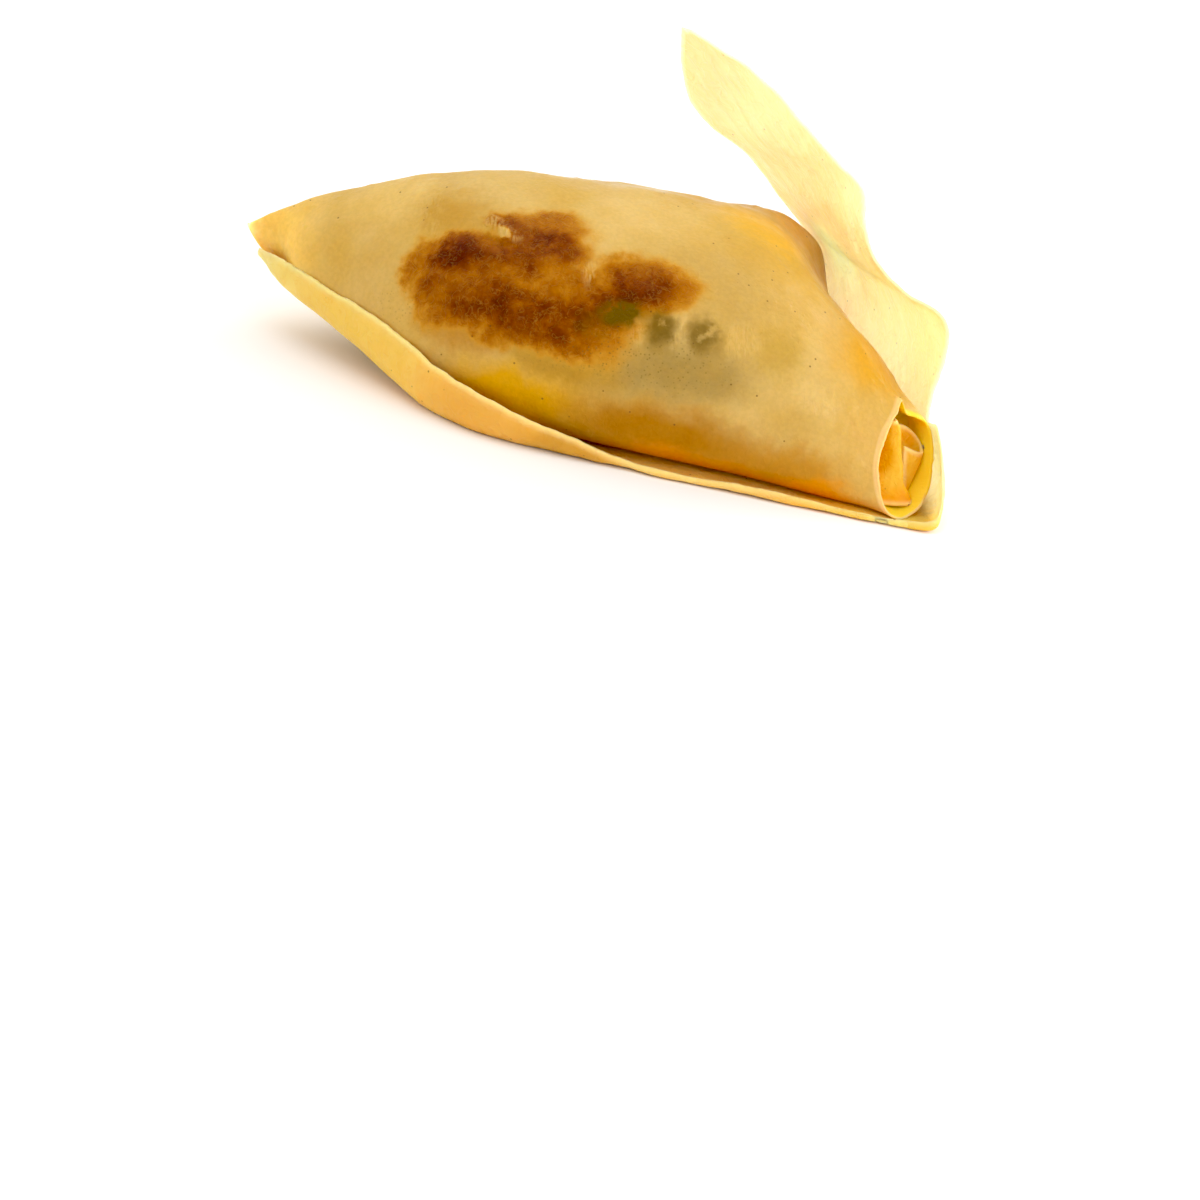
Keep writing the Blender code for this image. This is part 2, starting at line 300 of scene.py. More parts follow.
def makeSpecks():
    # tiny scorched specks of flour, and a finer dust of them where asked for
    group, given = newGroup(
        "scorched specks",
        [("Place", "Vector"), ("Spacing", "Float", 1.9), ("Radius", "Float", 0.2),
         ("Share", "Float", 0.6)],
        [("Mask", "Float")],
    )
    distance, scale, kept = scattered(group, given["Place"], given["Spacing"], given["Share"])
    radius = times(group, given["Radius"], scale)
    dot = ranged(group, distance, radius, times(group, radius, 0.45))
    return putOut(group, {"Mask": times(group, dot, kept)})


def makeBlisters():
    # small fried bubbles: low domes with a thin ring round each
    group, given = newGroup(
        "fried bubbles",
        [("Place", "Vector"), ("Spacing", "Float", 1.6), ("Share", "Float", 0.4)],
        [("Dome", "Float"), ("Ring", "Float")],
    )
    push = noiseNode(group, given["Place"], 0.9, 1.0, 0.5, "Color")
    bent = vectorMaths(group, "MULTIPLY_ADD", {0: push, 1: (0.9, 0.9, 0.9), 2: given["Place"]})
    distance, _, kept = scattered(group, bent, given["Spacing"], given["Share"])
    rise, fall = ranged(group, distance, 0.24, 0.33), ranged(group, distance, 0.46, 0.35)
    dome, ring = ranged(group, distance, 0.42, 0.05), times(group, rise, fall)
    return putOut(group, {"Dome": times(group, dome, kept), "Ring": times(group, ring, kept)})


def makeCrumple():
    # thin crumpled lines that come and go
    group, given = newGroup(
        "crumpled skin",
        [("Place", "Vector"), ("Size", "Float", 1.8), ("Cover", "Float", 0.5)],
        [("Height", "Float"), ("Line", "Float")],
    )
    scale = maths(group, "DIVIDE", 1.0, given["Size"])
    inputs = {"Vector": given["Place"], "Scale": scale, "Detail": 2.0, "Roughness": 0.55, "Distortion": 0.7}
    wave = node(group, "ShaderNodeTexNoise", inputs).outputs["Fac"]
    away = maths(group, "ABSOLUTE", maths(group, "SUBTRACT", wave, 0.5))
    bare = maths(group, "SUBTRACT", 1.0, given["Cover"])
    kept = ranged(group, noiseNode(group, given["Place"], 2.6), bare, maths(group, "ADD", bare, 0.16))
    line = times(group, ranged(group, away, 0.045, 0.0), kept)
    return putOut(group, {"Height": ranged(group, away, 0.11, 0.0), "Line": line})


def makeFryMottle():
    # uneven frying: broad clouds, fingertip patches and a fine grain
    group, given = newGroup(
        "fry mottle",
        [("Place", "Vector")],
        [("Cloud", "Float"), ("Patch", "Float"), ("Grain", "Float")],
    )
    place = given["Place"]
    return putOut(group, {
        "Cloud": ranged(group, noiseNode(group, place, 14.0), 0.3, 0.7),
        "Patch": ranged(group, noiseNode(group, place, 3.2, 4.0, 0.6), 0.36, 0.66),
        "Grain": noiseNode(group, place, 0.6),
    })


def makeStreaks():
    # fine stretch wrinkles along one direction of the sheet
    group, given = newGroup(
        "stretch wrinkles",
        [("Place", "Vector"), ("Turn", "Vector", (0, 0, 0)), ("Width", "Float", 0.8),
         ("Length", "Float", 5.0)],
        [("Height", "Float")],
    )
    inputs = {"Vector": given["Place"], "Rotation": given["Turn"]}
    turned = node(group, "ShaderNodeVectorRotate", inputs, rotation_type="EULER_XYZ").outputs[0]
    inputs = {0: given["Width"], 1: given["Length"], 2: given["Length"]}
    sizes = node(group, "ShaderNodeCombineXYZ", inputs).outputs[0]
    squeezed = vectorMaths(group, "DIVIDE", {0: turned, 1: sizes})
    inputs = {"Vector": squeezed, "Scale": 1.0, "Detail": 3.0, "Distortion": 0.6}
    return putOut(group, {"Height": node(group, "ShaderNodeTexNoise", inputs).outputs["Fac"]})


raggedPlace = makeRaggedPlace()
softSpot = makeSoftSpot()
scorchedSpecks = makeSpecks()
friedBubbles = makeBlisters()
crumpledSkin = makeCrumple()
fryMottle = makeFryMottle()
stretchWrinkles = makeStreaks()
print("shared effects ready")


def spotSum(tree, place, spots):
    total = 0.0
    for middle, size, strength in spots:
        spot = placed(tree, softSpot, Place=place, Middle=middle, Size=size, Strength=strength, Sum=total)
        total = spot["Sum"]
    return total


def tinted(tree, place, base, tints):
    for middle, size, strength, tint in tints:
        spot = placed(tree, softSpot, Place=place, Middle=middle, Size=size, Strength=strength)
        base = mixed(tree, spot["Mask"], base, tint)
    return base


def pointShare(tree, name):
    # a number from 0 to 1 that the mesh keeps at each point
    return node(tree, "ShaderNodeAttribute", attribute_name=name, attribute_type="GEOMETRY").outputs["Fac"]


pastryFinish = {"ior": 1.46, "oilRoughness": 0.22}


def startPastry(name, soft, coarse, fine):
    # soft is the light that enters the pastry: its share and how far it spreads in millimetres
    material = bpy.data.materials.new(name)
    material.use_nodes = True
    tree = material.node_tree
    shader = tree.nodes["Principled BSDF"]
    shader.location = (4600, 300)
    tree.nodes["Material Output"].location = (4900, 300)
    for key, value in (
        ("Subsurface Weight", soft["share"]), ("Subsurface Radius", soft["spread"]), ("Subsurface Scale", mm),
        ("Coat Weight", soft["oil"]), ("Coat Roughness", pastryFinish["oilRoughness"]),
        ("IOR", pastryFinish["ior"]), ("Specular IOR Level", soft["shine"]),
    ):
        shader.inputs[key].default_value = value
    places = placed(tree, raggedPlace, Coarse=coarse, Fine=fine)
    mottle = placed(tree, fryMottle, Place=places["Place"])
    return material, tree, places["Place"], places["Ragged"], mottle


def finishPastry(tree, colour, marks, patch, roughness, heights):
    # each mark is (mask, how much of it shows, colour), and each height (value, millimetres)
    shader = tree.nodes["Principled BSDF"]
    for mask, amount, tint in marks:
        colour = mixed(tree, times(tree, mask, amount), colour, tint)
    tree.links.new(colour, shader.inputs["Base Color"])
    lowest, added = roughness
    tree.links.new(maths(tree, "MULTIPLY_ADD", patch, added, lowest), shader.inputs["Roughness"])
    normal = None
    for value, tall in heights:
        inputs = {"Height": value, "Distance": tall * mm, "Strength": 1.0}
        if normal is not None:
            inputs["Normal"] = normal
        normal = node(tree, "ShaderNodeBump", inputs).outputs[0]
    tree.links.new(normal, shader.inputs["Normal"])


parcelPastry = {
    "top": (0.62, 0.385, 0.085), "pale": (0.68, 0.465, 0.155), "golden": (0.56, 0.3, 0.03),
    "soft": {"share": 0.7, "spread": (1.1, 0.7, 0.3), "oil": 0.03, "shine": 0.13},
    "roughness": (0.3, 0.14),  # lowest, and what the patches add
    # how much of each mark shows, and how far it stands out in millimetres
    "amounts": {
        "golden": 0.16, "puckerGlint": 0.42, "ring": 0.35, "line": 0.6, "dust": 0.5, "speck": 0.75, "edge": 0.45,
    },
    "heights": {"patch": 0.03, "grain": 0.01, "wrinkle": 0.35, "crumple": 0.07, "bubbleAndGlint": 0.03},
    # middle, half size, strength, colour
    "tints": [
        # over the shoulders
        ((-41, 0, 24), (9, 7, 5), 0.7, (0.76, 0.51, 0.15)),
        ((14, -3, 27), (12, 12, 8), 0.75, (0.57, 0.32, 0.034)),
        ((12, 4, 29), (9, 6, 5), 0.8, (0.78, 0.43, 0.03)),
        ((29.5, -8, 18), (8, 9, 6.5), 0.85, (0.7, 0.34, 0.01)),
        ((28, -15, 12.5), (6, 5, 3), 0.5, (0.6, 0.36, 0.07)),
        # round the filling and over the middle of the front
        ((6, -13, 25), (14, 9, 7), 0.7, (0.53, 0.34, 0.095)),
        ((-2, -22, 15), (17, 6, 5), 0.85, (0.4, 0.26, 0.072)),
        ((-13, -22, 12.5), (9, 5, 3.4), 0.85, (0.45, 0.235, 0.014)),
        ((-27, -18, 14), (9, 6, 4.5), 0.9, (0.47, 0.205, 0.016)),
        ((-31, -7, 25), (8, 6, 3.6), 0.8, (0.52, 0.27, 0.025)),
        ((-40, -11, 15), (7, 8, 7), 0.5, (0.58, 0.36, 0.09)),
        ((16.5, -18.4, 19), (5, 5, 4), 0.6, (0.48, 0.29, 0.04)),
        ((5, -21.5, 14.5), (9, 5, 4.5), 0.6, (0.36, 0.235, 0.06)),
        # lower front, down to the brown line above the skirt: darker and more orange, partly browning and
        # partly painted shade under the belly; the brown line is a painted shadow where the skirt meets the
        # parcel
        ((-18, -22, 6.6), (11, 6, 4.4), 1, (0.68, 0.355, 0.004)),
        ((3, -24, 6), (17, 6, 4.5), 1, (0.41, 0.165, 0.002)),
        ((21, -23, 4.5), (10, 6, 4), 0.85, (0.5, 0.215, 0.004)),
        ((20.5, -22, 11), (5, 5, 3), 0.7, (0.58, 0.36, 0.085)),
        ((8, -24, 1.8), (15, 7, 2.6), 0.95, (0.6, 0.21, 0.001)),
        ((25, -23, 1.8), (9, 6, 2.4), 1, (0.7, 0.27, 0.001)),
        ((31.5, -20, 8), (4.5, 6, 8), 0.9, (0.64, 0.39, 0.095)),
        # the tip, the ear behind and the open roll: bright, saturated colour painted as the glow of light
        # through the thin tip and the ear
        ((-57, 3, 12), (11, 9, 9), 0.75, (0.94, 0.58, 0.105)),
        ((-60.5, 4, 12), (2.6, 9, 5), 0.8, (1, 0.8, 0.32)), ((19, 19, 20), (8, 12, 12), 1, (1, 0.6, 0.03)),
        ((26, 6, 18), (8, 9, 9), 0.8, (0.92, 0.54, 0.08)),
        # the back
        ((-20, 14, 14), (12, 9, 9), 0.5, (0.6, 0.31, 0.03)),
        ((2, 26, 12), (9, 7, 6), 0.45, (0.5, 0.24, 0.02)),
    ],
    # the browned filling: middle, half size, strength
    "filling": [
        ((-20.6, -17, 21), (14, 7.5, 8.6), 0.37), ((-30.3, -12.4, 22), (3.2, 3.2, 3.2), 0.62),
        ((-27.2, -13.6, 22.8), (5, 4, 3.4), 0.32), ((-34.2, -12.6, 18.8), (3.6, 4.6, 5.6), 0.4),
        ((-29.8, -16.4, 15.8), (6, 4, 4.2), 0.41), ((-23.4, -19.2, 15.4), (6, 3.6, 3.2), 0.26),
        ((-24.2, -10.2, 26.8), (3, 2.4, 1.8), 0.34), ((-15.6, -13.8, 25.8), (3.6, 3, 2.4), 0.34),
        ((-18.6, -11, 27.8), (7.4, 4.6, 3.4), 0.38), ((-20.6, -14.6, 24.6), (4.6, 3.6, 2.8), 0.3),
        ((-21.6, -18.2, 18.6), (6, 4, 3.6), 0.22), ((-14.6, -20.2, 17.6), (9, 4.4, 4.8), 0.36),
        ((-14.4, -21.2, 14.8), (2.6, 2.5, 2.2), 0.26), ((-21, -20.6, 13.6), (4.5, 3, 2.4), 0.16),
        ((-8.5, -21.8, 14), (5, 3, 2.4), 0.13), ((-6.6, -17.2, 23.2), (6, 4.2, 4.2), 0.34),
        ((-3.4, -15.4, 25), (7.2, 4.6, 4), 0.36), ((-4.5, -17.9, 22.7), (5.4, 3, 3), 0.22),
        ((0.4, -16.8, 23.5), (4.4, 2.8, 2.8), 0.1), ((2, -15.4, 24.6), (4.6, 3.8, 3.6), 0.2),
        ((-5, -19.4, 20.4), (6.4, 3.4, 3.6), 0.24), ((-9, -21, 17), (7, 3.6, 3.4), 0.22),
        ((-24.2, -11.4, 25.8), (1.6, 1.8, 1), -0.45), ((-9.6, -15.8, 24.4), (2.8, 2.4, 2.2), -0.2),
        ((-18.8, -19.4, 18.2), (3, 2.4, 2.2), -0.14),
    ],
    # green pieces in it
    "greens": [
        ((-6, -19.5, 20.5), (3, 2.4, 2.2), 1.1), ((-4.4, -19, 21.2), (2.2, 2, 1.8), 0.35),
        ((-0.1, -20, 19.5), (2.6, 2.4, 3.2), 0.85), ((5.9, -19.4, 19.7), (2.8, 2.4, 3.4), 0.8),
        ((-9, -20.6, 18.2), (3, 2.2, 2.2), 0.35),
    ],
    # where the skin is puckered, and where pale streaks are painted over it as glints of light on the
    # wrinkles
    "puckers": [
        ((-25.6, -9.8, 26.3), (1.3, 1.3, 0.9), 1), ((-24.2, -11, 26.1), (1.5, 1.2, 0.9), 1),
        ((-22.9, -12.4, 25.6), (1.3, 1.2, 0.9), 0.9), ((-35.2, -5.2, 24.9), (3.2, 3, 2.4), 0.45),
        ((-33.6, -9.4, 23.6), (1.4, 1.6, 1.4), 0.4), ((-11.7, -16.1, 24.3), (0.9, 2.2, 2.6), 1),
        ((-3.2, -20.6, 18.2), (1, 2.2, 2), 0.5), ((2.7, -20, 19.4), (1.1, 2.4, 2.8), 0.65),
        ((10.7, -18.6, 20), (2.8, 2.6, 3.4), 0.55), ((23.9, -19.8, 14.1), (3, 3, 2.4), 0.45),
    ],
    # where the finest specks lie
    "dust": [
        ((0, -22, 15.5), (12, 4, 4.5), 1), ((-36, -14, 13), (6, 5, 4), 0.5),
        ((-14, -22, 14), (8, 4, 3), 0.6),
    ],
    # filling, from its faint edge to its darkest
    "browning": [
        (0, (0.66, 0.39, 0.06)), (0.2, (0.58, 0.27, 0.02)), (0.4, (0.41, 0.14, 0.004)),
        (0.6, (0.28, 0.072, 0.001)), (0.8, (0.18, 0.032, 0.0005)), (1, (0.11, 0.012, 0.0005)),
    ],
    # bubbleAndGlint colours the pale crumpled lines and bubble rings, partly painted glints of light
    # puckerGlint is the colour of the painted glints on the puckered skin
    "green": (0.16, 0.086, 0.002), "puckerGlint": (0.8, 0.56, 0.2), "bubbleAndGlint": (0.66, 0.38, 0.06),
    "dustColour": (0.16, 0.11, 0.02), "speckColour": (0.13, 0.06, 0.012),
    # edge is the pale lip round the roll: a painted highlight where its thin end catches the light
    # inside is the lining of the open roll: a painted glow, far brighter than the shade it lies in
    "edge": (0.98, 0.74, 0.34), "inside": (1, 0.62, 0.045),
}


def makeParcelPastry(look):
    amounts, heights = look["amounts"], look["heights"]
    material, tree, place, ragged, mottle = startPastry("parcelPastry", look["soft"], 1.2, 0.4)
    patch = mottle["Patch"]

    colour = mixed(tree, mottle["Cloud"], look["top"], look["pale"])
    colour = tinted(tree, ragged, colour, look["tints"])
    colour = mixed(tree, times(tree, patch, amounts["golden"]), colour, look["golden"])

    # browned filling: an orange halo that turns brown and then nearly black
    lumps = maths(tree, "MULTIPLY_ADD", noiseNode(tree, place, 2.6, 4.0, 0.6), 1.5, 0.25)
    shade = times(tree, spotSum(tree, ragged, look["filling"]), lumps)
    ramp = node(tree, "ShaderNodeValToRGB", {"Fac": shade})
    while len(ramp.color_ramp.elements) < len(look["browning"]):
        ramp.color_ramp.elements.new(0.5)
    for element, (position, tint) in zip(ramp.color_ramp.elements, look["browning"]):
        element.position = position
        element.color = (*tint, 1.0)
    colour = mixed(tree, ranged(tree, shade, 0.0, 0.30), colour, ramp.outputs["Color"])

    # green pieces in the filling, where the pale marks fade
    softRagged = placed(tree, raggedPlace, Coarse=0.5, Fine=0.4)["Ragged"]
    green = times(tree, spotSum(tree, softRagged, look["greens"]), ranged(tree, patch, -0.3, 0.6), clamp=True)
    colour = mixed(tree, green, colour, look["green"])
    greenFree = maths(tree, "SUBTRACT", 1.0, green, clamp=True)

    # puckered skin: pale streaks, painted glints of light on the wrinkles
    streaks = placed(tree, stretchWrinkles, Place=place, Turn=(0.5, 0.25, 0.3), Width=0.42, Length=1.5)
    streaks = streaks["Height"]
    puckered = maths(tree, "MINIMUM", spotSum(tree, ragged, look["puckers"]), 1.0)
    glint = times(tree, puckered, ranged(tree, streaks, 0.36, 0.60))
    glint = times(tree, times(tree, glint, amounts["puckerGlint"]), greenFree)
    colour = mixed(tree, glint, colour, look["puckerGlint"])

    # crumpled lines and fried bubbles, which show best over the filling: their pale lines and rings are
    # partly painted glints of light
    crumple = placed(tree, crumpledSkin, Place=place, Size=1.2, Cover=0.6)
    bubbles = placed(tree, friedBubbles, Place=place, Spacing=1.0, Share=0.4)
    overFilling = ranged(tree, maths(tree, "MAXIMUM", shade, puckered), 0.0, 0.45, 0.10, 0.25)
    lines = times(tree, crumple["Line"], amounts["line"])
    lines = maths(tree, "MULTIPLY_ADD", bubbles["Ring"], amounts["ring"], lines, clamp=True)
    lines = times(tree, times(tree, lines, overFilling), greenFree)
    colour = mixed(tree, lines, colour, look["bubbleAndGlint"])
    grain = ranged(tree, mottle["Grain"], 0.3, 0.7, 0.96, 1.03)
    colour = mixed(tree, 1.0, colour, grain, "MULTIPLY")

    specks = placed(tree, scorchedSpecks, Place=place, Spacing=2.1, Radius=0.2, Share=0.5)["Mask"]
    dust = placed(tree, scorchedSpecks, Place=place, Spacing=0.55, Radius=0.17, Share=0.8)["Mask"]
    dust = times(tree, spotSum(tree, place, look["dust"]), dust, clamp=True)
    nearFilling = ranged(tree, shade, -0.1, 0.5, 0.15, 1.0)
    finishPastry(tree, colour, [
        (dust, amounts["dust"], look["dustColour"]), (specks, amounts["speck"], look["speckColour"]),
        # the pale lip gets its painted highlight
        (pointShare(tree, "edge"), amounts["edge"], look["edge"]),
        # the roll's lining gets its painted glow
        (pointShare(tree, "inside"), 1.0, look["inside"]),
    ], patch, look["roughness"], [
        (patch, heights["patch"]), (mottle["Grain"], heights["grain"]),
        (times(tree, streaks, puckered), heights["wrinkle"]),
        (times(tree, crumple["Height"], nearFilling), heights["crumple"]),
        (bubbles["Dome"], heights["bubbleAndGlint"]),
    ])
    return material


loosePastry = {
    "base": (1, 0.52, 0.085), "pale": (1, 0.62, 0.17), "deep": (0.94, 0.42, 0.04),
    # edge is the pale rim of a sheet: partly paler thin pastry, partly a painted highlight of light through
    # it
    "edge": (1, 0.76, 0.32),
    "soft": {"share": 1.0, "spread": (0.85, 0.95, 0.8), "oil": 0.03, "shine": 0.14},
    # pale at the left end, where the sheet hangs free, and bright over the collar: painted glow of light
    # through the thin sheet; darker and browner along the middle
    "tints": [
        ((-60, 5, 9), (9, 9, 9), 0.8, (1, 0.68, 0.22)), ((-42, -10, 8), (12, 9, 9), 0.6, (1, 0.55, 0.1)),
        ((-22, -22, 3), (12, 7, 6), 0.8, (0.76, 0.4, 0.07)),
        ((-8, -25, 1), (9, 8, 5), 0.8, (0.56, 0.29, 0.035)),
        ((12, -26, 0), (16, 6, 4), 0.7, (0.78, 0.44, 0.1)),
        ((29, -24, 0), (7, 6, 4), 0.85, (0.98, 0.43, 0.04)),
        ((41, -12, 8), (7, 12, 12), 0.95, (1, 0.84, 0.36)),
    ],
    # which way the wrinkles run, how dark they are, and the share of specks
    "turn": (0, 0, 1.2), "streak": 0.3, "speck": 0.6,
}
# the collar round the roll is thinner and lets more light through
collarPastry = {
    **loosePastry,
    "base": (1, 0.54, 0.12), "pale": (1, 0.62, 0.2), "deep": (1, 0.45, 0.07),
    "soft": {"share": 1.0, "spread": (2.2, 2.0, 1.8), "oil": 0.03, "shine": 0.14},
    "tints": [((38, -23, 0), (8, 6, 4), 0.9, (1, 0.46, 0.05))],
}
flapPastry = {
    "base": (0.8, 0.385, 0.08), "pale": (0.86, 0.48, 0.15), "deep": (0.74, 0.3, 0.035),
    # edge: the pale rim, partly a painted highlight
    "edge": (1, 0.74, 0.34),
    "soft": {"share": 1.0, "spread": (4.0, 4.0, 3.8), "oil": 0.03, "shine": 0.16},
    # darker at the top and lighter low down and round the root: painted shade where the light is strongest,
    # and painted glow of light through the sheet where the parcel shades it
    "tints": [
        ((-4, 27, 46), (12, 10, 14), 0.7, (0.74, 0.32, 0.05)),
        ((32, 6, 20), (12, 22, 9), 0.8, (1, 0.6, 0.15)), ((21, 22, 20), (5, 7, 6), 0.8, (1, 0.82, 0.24)),
        ((18, 34, 12), (6, 8, 3), 0.8, (0.94, 0.62, 0.12)),
        ((26, 18, 9), (6, 9, 3), 0.8, (0.94, 0.62, 0.12)),
        ((36, -2, 7), (6, 9, 3), 0.7, (0.96, 0.66, 0.15)),
    ],
    "turn": (0, 0.9, 0.5), "streak": 0.55, "speck": 0.5,
}
innerPastry = {
    "base": (0.76, 0.37, 0.006), "pale": (0.84, 0.49, 0.05), "deep": (0.72, 0.31, 0.003),
    # edge: the pale rim, partly a painted highlight
    "edge": (1, 0.7, 0.32),
    "soft": {"share": 1.0, "spread": (0.8, 0.65, 0.35), "oil": 0.02, "shine": 0.12},
    # deeper orange on the leaf's left and low in the roll: painted shade
    "tints": [
        ((33.6, -17.3, 7.2), (1.9, 1.9, 8.5), 0.95, (0.7, 0.31, 0.003)),
        ((37, -12.4, 9), (1.8, 1.8, 1.6), 0.9, (0.76, 0.33, 0.003)),
        ((37.3, -18.3, 2.3), (3.5, 3.5, 1.6), 0.8, (0.84, 0.34, 0.003)),
    ],
    "turn": (0, 0, 0.2), "streak": 0.3, "speck": 0.4,
}

# what all the loose sheets share
sheetFinish = {
    "amounts": {"patch": 0.45, "crumple": 0.3, "edge": 0.65, "speck": 0.7},
    "heights": {"streak": 0.15, "patch": 0.08, "grain": 0.02, "crumple": 0.06},  # millimetres
    "roughness": (0.36, 0.16),  # lowest, and what the patches add
    "speckColour": (0.2, 0.09, 0.015),
}


def makeSheetPastry(name, look):
    amounts, heights = sheetFinish["amounts"], sheetFinish["heights"]
    material, tree, place, ragged, mottle = startPastry(name, look["soft"], 0.8, 0.3)
    patch = mottle["Patch"]
    streaks = placed(tree, stretchWrinkles, Place=place, Turn=look["turn"], Width=1.2, Length=9.0)["Height"]
    crumple = placed(tree, crumpledSkin, Place=place, Size=2.2, Cover=0.5)
    specks = placed(tree, scorchedSpecks, Place=place, Spacing=1.9, Radius=0.23, Share=look["speck"])["Mask"]

    colour = mixed(tree, mottle["Cloud"], look["base"], look["pale"])
    colour = mixed(tree, times(tree, ranged(tree, streaks, 0.4, 0.68), look["streak"]), colour, look["deep"])
    colour = mixed(tree, times(tree, patch, amounts["patch"]), colour, look["pale"])
    colour = tinted(tree, ragged, colour, look["tints"])
    finishPastry(tree, colour, [
        (crumple["Line"], amounts["crumple"], look["deep"]),
        # the pale rim: partly paler thin pastry, partly a painted highlight
        (pointShare(tree, "edge"), amounts["edge"], look["edge"]),
        (specks, amounts["speck"], sheetFinish["speckColour"]),
    ], patch, sheetFinish["roughness"], [
        (streaks, heights["streak"]), (patch, heights["patch"]), (mottle["Grain"], heights["grain"]),
        (crumple["Height"], heights["crumple"]),
    ])
    return material


parcelMaterial = makeParcelPastry(parcelPastry)
looseMaterial = makeSheetPastry("loosePastry", loosePastry)
collarMaterial = makeSheetPastry("collarPastry", collarPastry)
flapMaterial = makeSheetPastry("flapPastry", flapPastry)
innerMaterial = makeSheetPastry("innerPastry", innerPastry)
print("pastry materials ready")


parcel = {
    "rings": 236, "around": 360, "quarterSteps": 40,
    "crowding": 1.15,  # above 1, the rings lie closer together near the tip
    "skin": 0.45,  # thickness of the pastry where it ends, round the open roll
    "rollDepth": 4.5, "liningRings": 14, "liningTaper": 0.08,
    "earLump": ((18.5, 21, 20.5), 4.6, 1.4),  # middle, radius, height
    "lowest": 0.02, "flatBelow": (0.6, 4.0),  # the underside stays flat
    "waves": [(0.42, 10, 1), (0.22, 4.2, 2)],
    "fineWaves": [(0.035, 1.5, 3)],
    "puckerWaves": [(0.3, (0.9, 3.2, 3.2), 4)],
    "torn": [(0.35, 2.6, 6), (0.15, 0.9, 7)],
    # plan, in percent: the front fold and the back seam, from the tip to the roll
    "frontFold": [
        (0.4, 48.1), (8.3, 36.5), (17.4, 24.5), (27, 13.5), (38.1, 5.5),
        (50.6, 2.6), (63.1, 2.4), (74.6, 3.2), (84.2, 5.2), (90, 8.4),
    ],
    "backSeam": [
        (0, 49), (9.2, 59.7), (22.7, 70.2), (37.1, 80.6), (52.5, 91.9),
        (66.3, 101.9), (75.8, 100), (81.7, 72.6), (91, 43.5), (97.9, 18.7),
    ],
    "tipEnds": 0.11, "rollStarts": 0.84,  # along the parcel, from 0 at the tip to 1 at the roll
    "tipSlant": 0.9,  # the pinched end runs down and inwards
    "rollSlant": 0.36,  # the open roll's upper lip lies further back
    # cross-sections at ten even places from the tip to the roll
    "frontLevel": [33.5, 34.5, 33, 29.5, 26.5, 24.5, 24, 24, 23, 23],
    "backLevel": [35, 38.5, 40, 40.5, 41.5, 42.5, 43, 34, 27, 24.5],
    "topLevel": [43, 62.6, 80.4, 95.4, 99.8, 98.8, 94, 78.1, 58.4, 46.5],
    "underLevel": [28.7, 18.7, 7.7, 1, 0, 0, 0, 0, 0, 0],
    # how far back the ridge is, from 0 at the front fold to 1 at the back seam
    "ridge": [0.5, 0.5, 0.49, 0.46, 0.43, 0.41, 0.42, 0.44, 0.48, 0.5],
    "keel": 0.06,  # half the width of the flat strip along the underside, on the same scale
    # fullness of each quarter: 1 is a straight slope and 2 an oval
    "topFront": [1.6, 1.8, 1.9, 2, 2.1, 2.15, 2.15, 2.1, 2, 2],
    "topBack": [1.5, 1.35, 1.3, 1.3, 1.35, 1.42, 1.55, 1.2, 1.3, 2],
    "underBack": [1.5, 1.5, 1.5, 1.6, 1.7, 1.9, 2.1, 1.9, 1.9, 2],
    "underFront": [1.8, 1.9, 2.1, 2.6, 3.2, 3.8, 4, 3.8, 3.2, 2],
    "leanBack": [0, 0, 0, 0, 0, 0, 0, 0.05, 0.3, 0.66],
    # the pastry's end round the open roll: across, inwards and up from its front point
    "lip": [
        (-0.75, 0, 0.3), (-0.45, 0, 1.9), (0.15, 0, 4), (1.2, 0.2, 5.4), (2.3, 0.4, 6.8),
        (3.4, 0.8, 8.4), (4.1, 1.1, 7.6), (5.1, 1.4, 6.1), (6.9, 1.4, 5.4), (8.6, 1, 4.4),
        (9.5, 0.6, 2), (9.6, 0.3, -1.5), (9.2, 0, -4.4), (7.6, -0.2, -6.8), (5.9, -0.3, -8.1),
        (4.1, -0.4, -8.4), (2.2, -0.3, -7.8), (0.9, -0.2, -6.4), (0, 0, -3.9), (-0.6, 0, -1.6),
    ],
    # stretch folds: from, to, height (a groove is negative), width
    "folds": [
        ((-8, 2, 31), (15, 16, 25), 0.3, 1.3), ((2, -1, 30.4), (18, 12, 24), 0.38, 1.2),
        ((5, -3, 29.8), (21, 9, 20), -0.3, 1), ((-2, 8, 30), (14, 20, 24), -0.28, 1.1),
        ((8, -4, 29), (22, 6, 21), 0.26, 0.9), ((-12, 6, 30), (8, 17, 26), 0.22, 1.2),
        ((17, -5, 25.4), (30, -10, 17), 0.25, 1.1), ((13, -4, 27.5), (26, 0, 20), -0.22, 1),
        ((-52, 0, 15), (-38, -4, 22), 0.22, 1.2), ((-54, 3, 15), (-34, 6, 23), -0.2, 1.3),
        ((-26.8, -8.8, 26.6), (-22.2, -13, 25.4), 0.55, 0.8),
        ((-27.6, -10.6, 25.4), (-23.2, -14.2, 24.2), -0.4, 0.8),
        ((-13, -14.5, 25.8), (-12, -18, 22), 0.4, 0.6), ((-11.3, -15, 25.4), (-10.6, -18, 22), -0.3, 0.6),
    ],
    # rounded ends: share of the way, and how far out
    "tipRound": [(0.3, 0.5), (0.8, 0.3)],
    "lipRound": [(0.15, 0.16), (0.5, 0.24), (0.85, 0.16)],
    "blisters": 420, "blisterSeed": 11, "blisterRadius": (0.4, 1.0), "blisterHeight": (0.05, 0.16),
}


